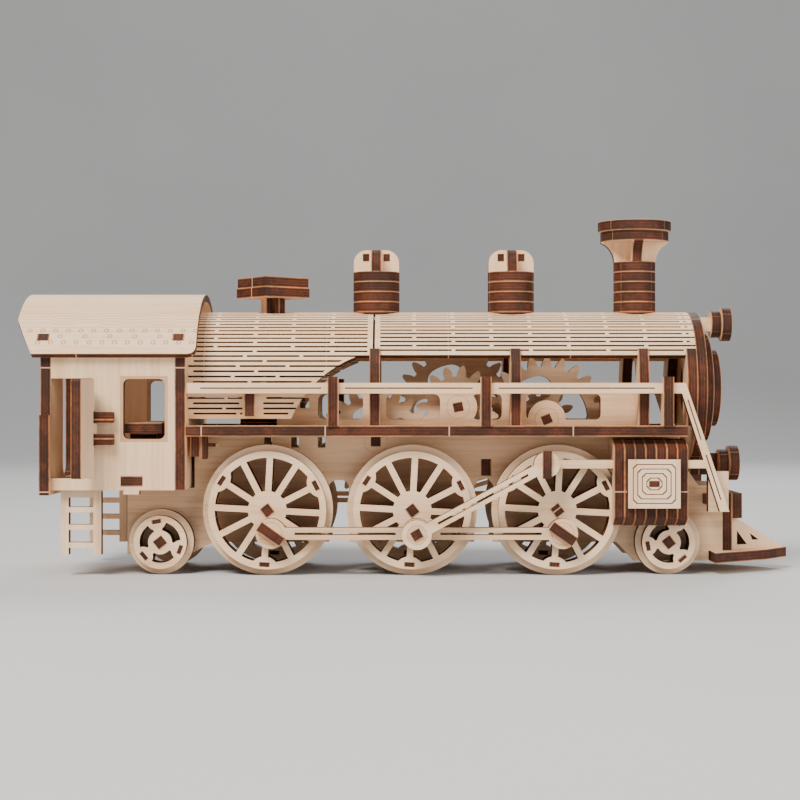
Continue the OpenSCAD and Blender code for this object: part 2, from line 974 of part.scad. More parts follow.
module gears_c() {
    color(wood) {
        gear(layer_bc, shaft_c_at, 12, angle_to(shaft_c_at, shaft_b_at), turn_c);
        gear(layer_cd, shaft_c_at, 24, angle_to(shaft_c_at, shaft_d_at) + 180 / 24, turn_c, 4);
    }
}

module drive_pinion() {
    color(wood) gear(layer_cd, shaft_d_at, 12, angle_to(shaft_d_at, shaft_c_at), axle_turn);
}

frame_right();
frame_left();
frame_stays();
running_boards();
handrails();
rail_posts();
cab_floor();
cab_side_right();
cab_side_left();
cab_front_wall();
cab_rear_wall();
cab_roof();
cab_bench();
hinge_knuckles();
ladders();
door_right();
door_left();
boiler_formers();
boiler_skin_rear();
boiler_skin_front();
smokebox_rings();
smokebox_door();
lamps();
chimney_rings();
chimney_flare();
chimney_cap();
dome_rings();
dome_caps();
cylinders();
valve_plates();
front_beam();
pilot_base();
pilot_sides();
spring_barrel();
winding_post();
winding_handle();
rear_drive_axle();
rear_drive_wheels();
rear_crank_pins();
middle_drive_axle();
middle_drive_wheels();
middle_crank_pins();
front_drive_axle();
front_drive_wheels();
front_crank_pins();
drive_pinion();
leading_wheelset();
trailing_wheelset();
coupling_rod_right();
coupling_rod_left();
connecting_rod_right();
connecting_rod_left();
piston_rod_right();
piston_rod_left();
shaft_a();
gear_a();
shaft_b();
gears_b();
shaft_c();
gears_c();
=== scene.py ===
import math
import bmesh
import bpy
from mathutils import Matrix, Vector


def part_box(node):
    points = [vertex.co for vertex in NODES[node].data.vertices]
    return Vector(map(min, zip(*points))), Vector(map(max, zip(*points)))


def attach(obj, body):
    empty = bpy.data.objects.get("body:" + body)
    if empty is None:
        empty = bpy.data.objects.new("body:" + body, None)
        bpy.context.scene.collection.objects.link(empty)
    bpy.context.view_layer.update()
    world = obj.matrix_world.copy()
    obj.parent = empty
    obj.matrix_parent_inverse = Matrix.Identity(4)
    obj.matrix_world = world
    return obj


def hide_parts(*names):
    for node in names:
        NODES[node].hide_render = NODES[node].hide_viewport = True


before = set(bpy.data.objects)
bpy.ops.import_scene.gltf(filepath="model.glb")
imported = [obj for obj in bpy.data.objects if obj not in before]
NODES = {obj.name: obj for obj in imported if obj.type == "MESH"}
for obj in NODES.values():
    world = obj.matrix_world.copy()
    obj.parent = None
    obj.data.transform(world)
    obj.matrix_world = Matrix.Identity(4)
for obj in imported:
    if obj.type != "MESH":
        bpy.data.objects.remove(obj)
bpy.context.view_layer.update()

# Steam locomotive puzzle model of laser-cut plywood. All lengths are in metres.
MM = 0.001
PLY = 4 * MM
X_AXIS, Y_AXIS, Z_AXIS = Vector((1, 0, 0)), Vector((0, 1, 0)), Vector((0, 0, 1))
SAME = 1e-6  # lengths this close count as equal
CLEAR = 1e-5  # a face this far past a plane lies beyond it


# ---------- plywood material ----------

class Graph:
    """Short calls for building a node material."""

    def __init__(self, name):
        self.material = bpy.data.materials.new(name)
        self.material.use_nodes = True
        self.tree = self.material.node_tree
        self.shader = self.tree.nodes["Principled BSDF"]

    def plug(self, socket, value):
        if isinstance(value, bpy.types.NodeSocket):
            self.tree.links.new(value, socket)
        elif value is not None:
            socket.default_value = value

    def operate(self, kind, operation, a, b):
        node = self.tree.nodes.new(kind)
        node.operation = operation
        self.plug(node.inputs[0], a)
        self.plug(node.inputs[1], b)
        return node.outputs

    def math(self, operation, a, b=None):
        return self.operate("ShaderNodeMath", operation, a, b)[0]

    def dot(self, a, b):
        return self.operate("ShaderNodeVectorMath", "DOT_PRODUCT", a, b)["Value"]

    def cross(self, a, b):
        return self.operate("ShaderNodeVectorMath", "CROSS_PRODUCT", a, b)["Vector"]

    def flipped(self, value):
        """1 minus the value."""
        return self.math("SUBTRACT", 1.0, value)

    def millimetres(self, axis):
        """The place along one axis of the piece's own coordinates."""
        split = self.tree.nodes.new("ShaderNodeSeparateXYZ")
        self.plug(split.inputs[0], self.coordinates("Object"))
        return self.math("MULTIPLY", split.outputs[axis], 1000.0)

    def attribute(self, name, output):
        node = self.tree.nodes.new("ShaderNodeAttribute")
        node.attribute_name = name
        return node.outputs[output]

    def stretched(self, scale):
        """The piece's own coordinates in metres, times a scale along each axis."""
        node = self.tree.nodes.new("ShaderNodeMapping")
        self.plug(node.inputs["Vector"], self.coordinates("Object"))
        node.inputs["Scale"].default_value = scale
        return node.outputs[0]

    def coordinates(self, kind):
        return self.tree.nodes.new("ShaderNodeTexCoord").outputs[kind]

    def noise(self, vector, detail=2.0, roughness=0.5):
        node = self.tree.nodes.new("ShaderNodeTexNoise")
        node.inputs["Scale"].default_value = 1.0
        node.inputs["Detail"].default_value = detail
        node.inputs["Roughness"].default_value = roughness
        self.plug(node.inputs["Vector"], vector)
        return node.outputs["Fac"]

    def ramp(self, value, stops):
        node = self.tree.nodes.new("ShaderNodeValToRGB")
        elements = node.color_ramp.elements
        while len(elements) < len(stops):
            elements.new(0.5)
        for element, (place, colour) in zip(elements, stops):
            element.position = place
            element.color = (*colour, 1)
        self.plug(node.inputs[0], value)
        return node.outputs[0]

    def mix(self, factor, a, b, blend="MIX"):
        node = self.tree.nodes.new("ShaderNodeMix")
        node.data_type = "RGBA"
        node.blend_type = blend
        self.plug(node.inputs[0], factor)
        self.plug(node.inputs[6], a)
        self.plug(node.inputs[7], b)
        return node.outputs[2]

    def steps(self, value, low, high):
        """0 below low, 1 above high, smooth between."""
        node = self.tree.nodes.new("ShaderNodeMapRange")
        node.interpolation_type = "SMOOTHSTEP"
        self.plug(node.inputs["Value"], value)
        node.inputs["From Min"].default_value = low
        node.inputs["From Max"].default_value = high
        return node.outputs["Result"]


PALE = ((0.78, 0.48, 0.27), (0.91, 0.625, 0.385), (0.95, 0.70, 0.465))
# The second tone is the pale plywood darkened: painted shade for parts that sit in shade, such as
# the frame plates under the running board and the formers inside the boiler
SHADED_WOOD = ((0.60, 0.355, 0.195), (0.76, 0.50, 0.30), (0.86, 0.60, 0.385))
EDGE = (
    (0.00, (0.42, 0.21, 0.09)),
    (0.10, (0.21, 0.088, 0.034)),
    (0.20, (0.062, 0.019, 0.008)),
    (0.48, (0.023, 0.0072, 0.0036)),
    (0.70, (0.076, 0.0245, 0.0100)),
    (0.84, (0.032, 0.0100, 0.0050)),
    (1.00, (0.060, 0.019, 0.008)),
)
ENGRAVED = (0.13, 0.05, 0.024, 1)
MARK = (0.26, 0.12, 0.06, 1)
TICK = (0.62, 0.42, 0.27, 1)
TONE_PLACES = (0.33, 0.47, 0.62)  # where the three tones of a face lie in its grain noise
FACE_COSINES = (0.55, 0.80)  # between the cut edge's look and the face's
ENGRAVED_DEPTHS = (0.02, 0.04)  # in sheets below the face

# Noise scales per metre: fine and broad grain along each axis, streaks and burnt patches
ALONG = {"X": (28, 620, 620), "Y": (620, 28, 620), "Z": (620, 620, 28)}
BROAD = {"X": (6, 90, 90), "Y": (90, 6, 90), "Z": (90, 90, 6)}
STREAKS = (420, 420, 420)
PATCHES = (90, 90, 90)

STREAK_SHIFT = 0.16  # how far, in sheets, the streaks move the plies of an edge
WARM_LIMITS = (0.42, 0.62)  # above these, patches of an edge are lighter
WARM_GAIN = (2.1, 1.8, 1.65, 1)
TICK_EVERY, TICK_START, TICK_HALVES = 47 * MM, 0.31, (0.003, 0.0065)
ROUGHNESS, SPECULAR = 0.62, 0.28
BUMP_STRENGTH, BUMP_HEIGHT = 0.35, 0.1 * MM


def plywood(name, tone, grain, engraved=False, marks=None, mark_tone=MARK):
    """Plywood whose cut edges are charred.

    The attribute sheet_t counts sheets through the thickness, so it is a whole number on
    each face, and sheet_n is the direction across the sheet.
    """
    g = Graph(name)
    across = g.attribute("sheet_n", "Vector")
    depth = g.math("PINGPONG", g.attribute("sheet_t", "Fac"), 0.5)
    facing = g.math("ABSOLUTE", g.dot(g.coordinates("Normal"), across))

    fine = g.noise(g.stretched(ALONG[grain]), 4, 0.6)
    broad = g.noise(g.stretched(BROAD[grain]))
    value = g.math("ADD", g.math("MULTIPLY", fine, 0.5), g.math("MULTIPLY", broad, 0.5))
    face = g.ramp(value, list(zip(TONE_PLACES, tone)))
    if marks:
        face = g.mix(marks(g), face, mark_tone)
    if engraved:
        face = g.mix(g.steps(depth, *ENGRAVED_DEPTHS), face, ENGRAVED)

    streak = g.noise(g.stretched(STREAKS), 3, 0.65)
    shift = g.math("MULTIPLY", g.math("SUBTRACT", streak, 0.5), STREAK_SHIFT)
    edge = g.ramp(g.math("MULTIPLY", g.math("ADD", depth, shift), 2.0), EDGE)
    patch = g.math("MULTIPLY", g.noise(g.stretched(PATCHES), 3), 0.6)
    warm = g.steps(g.math("ADD", patch, g.math("MULTIPLY", streak, 0.4)), *WARM_LIMITS)
    edge = g.mix(warm, edge, g.mix(1.0, edge, WARM_GAIN, "MULTIPLY"))
    # Pale ticks where the sheet was held in its frame while it was cut
    along = g.cross(g.coordinates("Normal"), across)
    place = g.math("DIVIDE", g.dot(g.coordinates("Object"), along), TICK_EVERY)
    off_tick = g.math("PINGPONG", g.math("ADD", place, TICK_START), 0.5)
    edge = g.mix(g.flipped(g.steps(off_tick, *TICK_HALVES)), edge, TICK)

    g.plug(g.shader.inputs["Base Color"], g.mix(g.steps(facing, *FACE_COSINES), edge, face))
    g.shader.inputs["Roughness"].default_value = ROUGHNESS
    g.shader.inputs["Specular IOR Level"].default_value = SPECULAR
    bump = g.tree.nodes.new("ShaderNodeBump")
    bump.inputs["Strength"].default_value = BUMP_STRENGTH
    bump.inputs["Distance"].default_value = BUMP_HEIGHT
    g.plug(bump.inputs["Height"], g.math("ADD", fine, streak))
    g.plug(g.shader.inputs["Normal"], bump.outputs[0])
    return g.material


# ---------- tagging a mesh with its sheets ----------

def islands(mesh):
    """Lists of faces that are joined, counting corners at one place as one."""
    parent = list(range(len(mesh.vertices)))

    def top(i):
        while parent[i] != i:
            parent[i] = parent[parent[i]]
            i = parent[i]
        return i

    seen = {}
    for v in mesh.vertices:
        key = tuple(round(c * 1e6) for c in v.co)
        parent[top(v.index)] = top(seen.setdefault(key, v.index))
    for e in mesh.edges:
        parent[top(e.vertices[0])] = top(e.vertices[1])
    groups = {}
    for face in mesh.polygons:
        groups.setdefault(top(face.vertices[0]), []).append(face)
    return list(groups.values())


def main_direction(faces):
    """The direction that most of the area faces, which is the direction across the sheet."""
    area = {}
    for face in faces:
        n = face.normal
        if max(n, key=abs) < 0:
            n = -n
        key = tuple(round(c, 1) for c in n)
        total, direction = area.get(key, (0, n.copy()))
        area[key] = (total + face.area, direction)
    return max(area.values(), key=lambda v: v[0])[1]


def spread(mesh, faces, direction):
    """The lowest and highest place of the faces along a direction."""
    along = [mesh.vertices[i].co.dot(direction) for face in faces for i in face.vertices]
    return min(along), max(along)


def tag(obj, rule=None):
    """Writes sheet_t and sheet_n on each corner of a face.

    rule(mesh, faces of an island) gives a function from a face to the direction across its
    sheet and where that sheet starts. Without a rule, each island is one sheet or a stack.
    """
    mesh = obj.data
    counts = [0.0] * len(mesh.loops)
    directions = [(0.0, 0.0, 1.0)] * len(mesh.loops)
    for faces in islands(mesh):
        thick = PLY
        if rule:
            pick = rule(mesh, faces)
        else:
            d = main_direction(faces)
            low, high = spread(mesh, faces, d)
            thick = (high - low) / max(1, round((high - low) / PLY))
        for face in faces:
            if rule:
                d, low = pick(face)
            for k in face.loop_indices:
                place = mesh.vertices[mesh.loops[k].vertex_index].co.dot(d)
                counts[k] = (place - low) / thick
                directions[k] = tuple(d)
    store(mesh, counts, directions, "CORNER")


def store(mesh, counts, directions, domain):
    mesh.attributes.new("sheet_t", "FLOAT", domain).data.foreach_set("value", counts)
    flat = [c for d in directions for c in d]
    mesh.attributes.new("sheet_n", "FLOAT_VECTOR", domain).data.foreach_set("vector", flat)


def stacked(axis):
    """A stack of sheets: whole sheets counted from its highest corner."""
    def rule(mesh, faces):
        high = spread(mesh, faces, axis)[1]
        return lambda face: (axis, high)
    return rule


def both_sides(tip=0.0):
    """Sheets across Y at both sides. What stands proud of them by tip is a bar's end."""
    def rule(mesh, faces):
        low, high = spread(mesh, faces, Y_AXIS)
        plane = max(-low, high) - tip
        walls = [f for f in faces if abs(f.normal.y) < 0.5]
        proud = [f for f in walls if abs(f.center.y) > plane + CLEAR]
        across = main_direction(proud or walls)
        ends = spread(mesh, proud or walls, across)
        start = ends[0] if proud else sum(ends) / 2 - PLY / 2

        def pick(face):
            if tip and abs(face.center.y) > plane + CLEAR:
                return across, start
            return Y_AXIS, math.copysign(plane, face.center.y)
        return pick
    return rule


def crossed(mesh, faces):
    """Two upright sheets that cross: one across Y, the other across X."""
    middle = sum(spread(mesh, faces, X_AXIS)) / 2

    def pick(face):
        if abs(face.center.y) <= PLY / 2 + CLEAR:
            return Y_AXIS, -PLY / 2
        return X_AXIS, middle - PLY / 2
    return pick


def lamp(mesh, faces):
    """The arm of a lamp is a sheet across Y and its discs are sheets across X."""
    front = spread(mesh, faces, X_AXIS)[1]

    def pick(face):
        if face.center.x < front - 2 * PLY - CLEAR:
            return Y_AXIS, -PLY / 2
        return X_AXIS, front
    return pick


def paint(obj, material):
    obj.data.materials.clear()
    obj.data.materials.append(material)


# ---------- new pieces ----------

def piece(name, verts, faces, body, material):
    mesh = bpy.data.meshes.new(name)
    mesh.from_pydata([tuple(v) for v in verts], [], faces)
    mesh.validate()
    bm = bmesh.new()
    bm.from_mesh(mesh)
    bmesh.ops.recalc_face_normals(bm, faces=bm.faces)
    bm.to_mesh(mesh)
    bm.free()
    obj = bpy.data.objects.new(name, mesh)
    bpy.context.scene.collection.objects.link(obj)
    mesh.materials.append(material)
    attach(obj, body)
    return obj


def thick_sheet(cells, outer, inner):
    """Corners and faces of a sheet: both sides of each cell and a wall at each free edge."""
    free = set()
    for cell in cells:
        for a, b in zip(cell, cell[1:] + cell[:1]):
            if (b, a) in free:
                free.remove((b, a))
            else:
                free.add((a, b))
    used = sorted({i for cell in cells for i in cell})
    place = {i: k for k, i in enumerate(used)}
    n = len(used)
    faces = [tuple(place[i] for i in cell) for cell in cells]
    faces += [tuple(place[i] + n for i in reversed(cell)) for cell in cells]
    faces += [(place[b], place[a], place[a] + n, place[b] + n) for a, b in sorted(free)]
    return [outer[i] for i in used] + [inner[i] for i in used], faces


def bent_sheet(name, rows, bands, axis_z, radius, thick, material):
    """A sheet bent round a line along X.

    rows are the angles of the cuts round the line, in radians from +Y. bands holds, for each
    strip between two rows, the stretches of wood on it: each is the places of its two ends
    along X, both on the lower row and on the upper one.
    """
    breaks = [set() for _ in rows]
    for j, band in enumerate(bands):
        for lower, upper in band:
            breaks[j] |= set(lower)
            breaks[j + 1] |= set(upper)
    outer, inner, index = [], [], {}
    for j, angle in enumerate(rows):
        c, s = math.cos(angle), math.sin(angle)
        for x in sorted(breaks[j]):
            index[j, x] = len(outer)
            outer.append(Vector((x, radius * c, axis_z + radius * s)))
            inner.append(Vector((x, (radius - thick) * c, axis_z + (radius - thick) * s)))
    cells = []
    for j, band in enumerate(bands):
        for lower, upper in band:
            first = [index[j, x] for x in sorted(breaks[j]) if lower[0] <= x <= lower[1]]
            second = [index[j + 1, x] for x in sorted(breaks[j + 1]) if upper[0] <= x <= upper[1]]
            if len(first) + len(second) > 2:
                cells.append(tuple(first + second[::-1]))
    verts, faces = thick_sheet(cells, outer, inner)
    obj = piece(name, verts, faces, "chassis", material)
    outward = [Vector((0, v.co.y, v.co.z - axis_z)) for v in obj.data.vertices]
    counts = [(d.length - radius + thick) / thick for d in outward]
    store(obj.data, counts, [d.normalized() for d in outward], "POINT")
    return obj


# ---------- boiler skins with their bending slots ----------

BOILER_Z = 72 * MM
SKIN_R, SKIN_T = 30.2 * MM, 3 * MM
SKIN_EDGE_Z = 84.5 * MM
PITCH, SLOT, BRIDGE = 2.09 * MM, 0.75 * MM, 1.4 * MM
PERIOD, PERIODS = 29.8 * MM, 8  # from bridge to bridge, and enough of them for a skin
EDGE_LAND = 2 * MM  # wood at the end of a row that doesn't run out
SIDE_LAND = 1.75 * MM  # wood below the first row of slots
SHORTEST_SLOT = 0.3 * MM


def without(stretches, low, high):
    """Stretches of X with the part between low and high taken out."""
    left = [(a, min(b, low)) for a, b in stretches if a < low]
    return left + [(max(a, high), b) for a, b in stretches if b > high]


def slot_row(kind, rear, front, slanted, bridges, open_rear, open_front):
    """The stretches of wood on a row of slots. Rows of kind 1 run out at an open edge."""
    if slanted:
        stop = front - EDGE_LAND
        middles = [(rear + stop) / 2]
        if kind:
            middles = [rear + (front - rear) / 3, rear + (front - rear) * 2 / 3]
    else:
        first = bridges[kind] - PERIOD * math.ceil((bridges[kind] - rear) / PERIOD)
        middles = [first + PERIOD * k for k in range(PERIODS)]
    wood = [(m - BRIDGE / 2, m + BRIDGE / 2) for m in middles]
    if not (kind and open_rear):
        wood.append((rear, rear + EDGE_LAND))
    if not (kind and (open_front or slanted)):
        wood.append((front - EDGE_LAND, front))
    wood = [(max(a, rear), min(b, front)) for a, b in wood if b > rear and a < front]
    joined = []
    for a, b in sorted(wood):
        if joined and a <= joined[-1][1] + SHORTEST_SLOT:
            joined[-1] = (joined[-1][0], max(b, joined[-1][1]))
        else:
            joined.append((a, b))
    return joined


def slotted_skin(name, node, low_z, bridges, edge, opens, alter, material):
    """A boiler skin with rows of slots, which let flat plywood bend.

    bridges gives a bridge's place in even and odd rows, edge(z) the front edge's place, and
    opens which ends the odd rows run out at. alter(stretches, y, z) makes local changes.
    """
    rear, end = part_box(node)[0].x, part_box(node)[1].x
    start = math.asin((low_z - BOILER_Z) / SKIN_R)
    arc = (math.pi - 2 * start) * SKIN_R
    margin = SIDE_LAND + SLOT / 2
    count = 2 * round((arc - 2 * margin) / PITCH / 2)
    step = (arc - 2 * margin) / count
    rows = [start]
    for k in range(count + 1):
        middle = margin + k * step
        rows += [start + (middle - SLOT / 2) / SKIN_R, start + (middle + SLOT / 2) / SKIN_R]
    rows.append(math.pi - start)

    bands = []
    for j in range(len(rows) - 1):
        angle = (rows[j] + rows[j + 1]) / 2
        y, z = SKIN_R * math.cos(angle), BOILER_Z + SKIN_R * math.sin(angle)
        front = edge(z)
        ends = [edge(BOILER_Z + SKIN_R * math.sin(rows[j + k])) for k in (0, 1)]
        slanted = front < end - SAME
        if front > end - SAME:
            ends = [front, front]
        stretches = [(rear, front)]
        if j % 2:
            stretches = slot_row((j // 2) % 2, rear, front, slanted, bridges, *opens)
        band = []
        for a, b in alter(stretches, y, z):
            both = []
            for k in (0, 1):
                shift = ends[k] - front
                near = [x + shift if x > front - EDGE_LAND - SAME else x for x in (a, b)]
                both.append(tuple(round(x, 7) for x in near))
            band.append(both)
        bands.append(band)
    obj = bent_sheet(name, rows, bands, BOILER_Z, SKIN_R, SKIN_T, material)
    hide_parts(node)


def front_skin(material):
    """The skin over the front half, cut straight along both sides."""
    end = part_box("boiler_skin_front")[1].x
    slotted_skin(
        "slotted_front_skin", "boiler_skin_front", SKIN_EDGE_Z, (16.5 * MM, 1.4 * MM),
        lambda z: end, (False, True), lambda stretches, y, z: stretches, material,
    )


def rear_skin(material):
    """The skin before the cab: it hangs lower and is cut away in an arc at its front."""
    low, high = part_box("boiler_skin_rear")
    cut_x, cut_z, cut_r = -4.3 * MM, 41.4 * MM, 45.6 * MM
    post_x, post_half = -54.9 * MM, 5.3 * MM
    clip, clip_top = (-64.5 * MM, -56.5 * MM), 70 * MM

    def edge(z):
        if z > SKIN_EDGE_Z:
            return high.x
        return cut_x - math.sqrt(cut_r**2 - (z - cut_z) ** 2)

    def alter(stretches, y, z):
        if z > BOILER_Z and abs(y) < post_half:
            return without(stretches, post_x - post_half, post_x + post_half)
        if z < clip_top:
            return without(stretches, *clip) + [clip]
        return stretches

    slotted_skin(
        "slotted_rear_skin", "boiler_skin_rear", low.z, (-60.0 * MM, -45.4 * MM),
        edge, (True, False), alter, material,
    )


# ---------- roof ----------

ROOF_R, ROOF_Z, ROOF_T = 45.47 * MM, 63.73 * MM, 3 * MM
EAVE_Z = 84.6 * MM
ROOF_START = math.asin((EAVE_Z - ROOF_Z) / ROOF_R)
ROOF_ROWS = 72
SLANT_Z, SLANT = 98 * MM, 7 * MM  # the rear edge runs forward below this height
CORNER, CORNER_ROWS = 3 * MM, 8  # the rounded front corner of each eave

# Marks on the roof in millimetres: rows of rivets as (height, first, last, spacing)
RIVETS = (
    (93.6, -144.8, -82.0, 4.85),
    (91.4, -133.1, -95.0, 9.45),
    (89.0, -141.2, -82.8, 4.85),
)
RIVET_R, RING_HALVES, RING_STRENGTH = 0.78, (0.10, 0.24), 0.8
SEAMS, SEAM_HALVES, SEAM_STRENGTH = (93.2, 94.9), (0.05, 0.20), 0.35
WAVES_FROM, WAVE_HALF_GAP, WAVE_HALVES, WAVE_STRENGTH = 96.9, 0.85, (0.05, 0.19), 0.55
DIPS, DIP_HALVES, DIP_DEPTH = (-132.6, -113.7, -95.0), (3.0, 5.4), 1.1


def roof(material):
    low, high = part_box("cab_roof")

    def ends(angle):
        z = ROOF_Z + ROOF_R * math.sin(angle)
        rear, front = low.x, high.x
        if z < SLANT_Z:
            rear += SLANT * (SLANT_Z - z) / (SLANT_Z - EAVE_Z)
        if z < EAVE_Z + CORNER:
            front -= CORNER - math.sqrt(max(0, CORNER**2 - (EAVE_Z + CORNER - z) ** 2))
        return round(rear, 7), round(front, 7)

    turn = math.pi - 2 * ROOF_START
    rows = {round(ROOF_START + turn * k / ROOF_ROWS, 6) for k in range(ROOF_ROWS + 1)}
    corner = [EAVE_Z + CORNER * k / CORNER_ROWS for k in range(1, CORNER_ROWS + 1)]
    for z in [SLANT_Z] + corner:
        near = math.asin((z - ROOF_Z) / ROOF_R)
        rows |= {round(near, 6), round(math.pi - near, 6)}
    rows = sorted(rows)
    bands = [[(ends(a), ends(b))] for a, b in zip(rows, rows[1:])]
    obj = bent_sheet(
        "roof_sheet", rows, bands, ROOF_Z, ROOF_R, ROOF_T, material
    )
    arcs = []
    for v in obj.data.vertices:
        angle = math.atan2(v.co.z - ROOF_Z, abs(v.co.y))
        arcs.append((angle - ROOF_START) * ROOF_R / MM)
    obj.data.attributes.new("arc_mm", "FLOAT", "POINT").data.foreach_set("value", arcs)
    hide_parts("cab_roof")


def roof_arc(z):
    """Height of a point of the roof as millimetres of arc above the eave."""
    return (math.asin((z * MM - ROOF_Z) / ROOF_R) - ROOF_START) * ROOF_R / MM


def roof_marks(g):
    """The lines and rivets engraved on the roof, 1 on a mark and 0 elsewhere."""
    x, arc = g.millimetres(0), g.attribute("arc_mm", "Fac")

    def highest(values):
        total = values[0]
        for value in values[1:]:
            total = g.math("MAXIMUM", total, value)
        return total

    marks = []
    for z, first, last, spacing in RIVETS:
        along = g.math("SUBTRACT", x, first)
        nearest = g.math("MAXIMUM", g.math("ROUND", g.math("DIVIDE", along, spacing)), 0.0)
        nearest = g.math("MINIMUM", nearest, round((last - first) / spacing))
        dx = g.math("SUBTRACT", along, g.math("MULTIPLY", nearest, spacing))
        dy = g.math("SUBTRACT", arc, roof_arc(z))
        squares = g.math("ADD", g.math("MULTIPLY", dx, dx), g.math("MULTIPLY", dy, dy))
        off_ring = g.math("ABSOLUTE", g.math("SUBTRACT", g.math("SQRT", squares), RIVET_R))
        ring = g.flipped(g.steps(off_ring, *RING_HALVES))
        marks.append(g.math("MULTIPLY", ring, RING_STRENGTH))
    for z in SEAMS:
        off_line = g.math("ABSOLUTE", g.math("SUBTRACT", arc, roof_arc(z)))
        line = g.flipped(g.steps(off_line, *SEAM_HALVES))
        marks.append(g.math("MULTIPLY", line, SEAM_STRENGTH))

    # Long lines that dip in three places, fainter towards the crown
    dips = []
    for middle in DIPS:
        near = g.math("ABSOLUTE", g.math("SUBTRACT", x, middle))
        dips.append(g.flipped(g.steps(near, *DIP_HALVES)))
    wave = g.math("ADD", arc, g.math("MULTIPLY", highest(dips), DIP_DEPTH))
    start = roof_arc(WAVES_FROM)
    off_line = g.math("PINGPONG", g.math("SUBTRACT", wave, start), WAVE_HALF_GAP)
    line = g.flipped(g.steps(off_line, *WAVE_HALVES))
    above = g.steps(wave, start - 0.4, start - 0.3)
    fade = g.flipped(g.steps(arc, start + 2, start + 24))
    strength = g.math("MULTIPLY", fade, WAVE_STRENGTH)
    marks.append(g.math("MULTIPLY", g.math("MULTIPLY", line, above), strength))
    return highest(marks)


# ---------- tenons and keys that fill the slots ----------

def mm(*values):
    return tuple(value * MM for value in values)


KEY_EASE = 0.12 * MM
AXLES = ("rear", "middle", "front")
# How far out the slots of a wheel are, and a key's sizes: outward, across, along the axle
DRIVE_REACH, DRIVE_TURNS, DRIVE_KEY = 20.8 * MM, (27, 147, 267), mm(1.7, 4.0)
SMALL_REACH, SMALL_KEY = 8.1 * MM, mm(1.5, 3.7)
LEADING_TURNS, TRAILING_TURNS = (70, 190, 310), (100, 220, 340)
WHEEL_KEY_INSET, WHEEL_KEY_DEPTH = 0.1 * MM, 2 * PLY - 0.4 * MM

FLOOR_TENON, FLOOR_TENON_X, FLOOR_TENON_RISE = mm(8.2, 3.8, 3.9), -105.8 * MM, 1.4 * MM
PLATE_TENON = mm(4.1, 2.5, 3.7)
ROOF_TENON, ROOF_TENON_XS, ROOF_TENON_Z = mm(3.0, 4.4, 2.9), mm(-139.4, -88.2), 91 * MM
DOME_R, DOME_KEY, DOME_KEY_SHIFTS = 9 * MM, mm(2.6, 3.2, 1.6), mm(-4.1, 4.1)
SHAFT_END, SHAFT_TURNS = mm(3.9, 3.9, 2), {"a": 0, "b": 12, "c": 22}


def keys(name, blocks, body, material):
    """Small blocks with eased edges. Each is (middle, length axis, sheet axis, sizes)."""
    bm = bmesh.new()
    for middle, u, v, (length, thick, depth) in blocks:
        u, v = Vector(u), Vector(v)
        w = u.cross(v)
        made = bmesh.ops.create_cube(bm, size=1)["verts"]
        for vert in made:
            a, b, c = vert.co * 2
            vert.co = Vector(middle) + (u * a * length + v * b * thick + w * c * depth) / 2
        edges = list({e for vert in made for e in vert.link_edges})
        bmesh.ops.bevel(
            bm, geom=edges, offset=KEY_EASE, segments=2, affect="EDGES", profile=0.5
        )
    bm.verts.index_update()
    verts = [v.co.copy() for v in bm.verts]
    faces = [tuple(v.index for v in f.verts) for f in bm.faces]
    bm.free()
    obj = piece(name, verts, faces, body, material)
    counts, directions = [], []
    for vert in obj.data.vertices:
        middle, _, v, sizes = min(blocks, key=lambda b: (Vector(b[0]) - vert.co).length)
        counts.append((vert.co - Vector(middle)).dot(Vector(v)) / sizes[1] + 0.5)
        directions.append(Vector(v))
    store(obj.data, counts, directions, "POINT")


def wheel_keys(material):
    """Keys through the slots of the wheels, flush with the outer discs."""
    wheels = [
        (f"{axle}_drive", f"{axle}_drive_wheels", f"{axle}_drive_wheelset",
         DRIVE_REACH, DRIVE_TURNS, DRIVE_KEY)
        for axle in AXLES
    ]
    for label, turns in (("leading", LEADING_TURNS), ("trailing", TRAILING_TURNS)):
        wheels.append(
            (label, f"{label}_wheelset", f"{label}_wheels", SMALL_REACH, turns, SMALL_KEY)
        )
    for label, node, body, reach, turns, size in wheels:
        low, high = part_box(node)
        x, z = (low.x + high.x) / 2, (low.z + high.z) / 2
        blocks = []
        for side in (-1, 1):
            y = side * (high.y - PLY - WHEEL_KEY_INSET)
            for turn in turns:
                c, s = math.cos(math.radians(turn)), math.sin(math.radians(turn))
                place = (x + reach * c, y, z + reach * s)
                blocks.append((place, (c, 0, s), (-s, 0, c), (*size, WHEEL_KEY_DEPTH)))
        keys(f"{label}_wheel_keys", blocks, body, material)


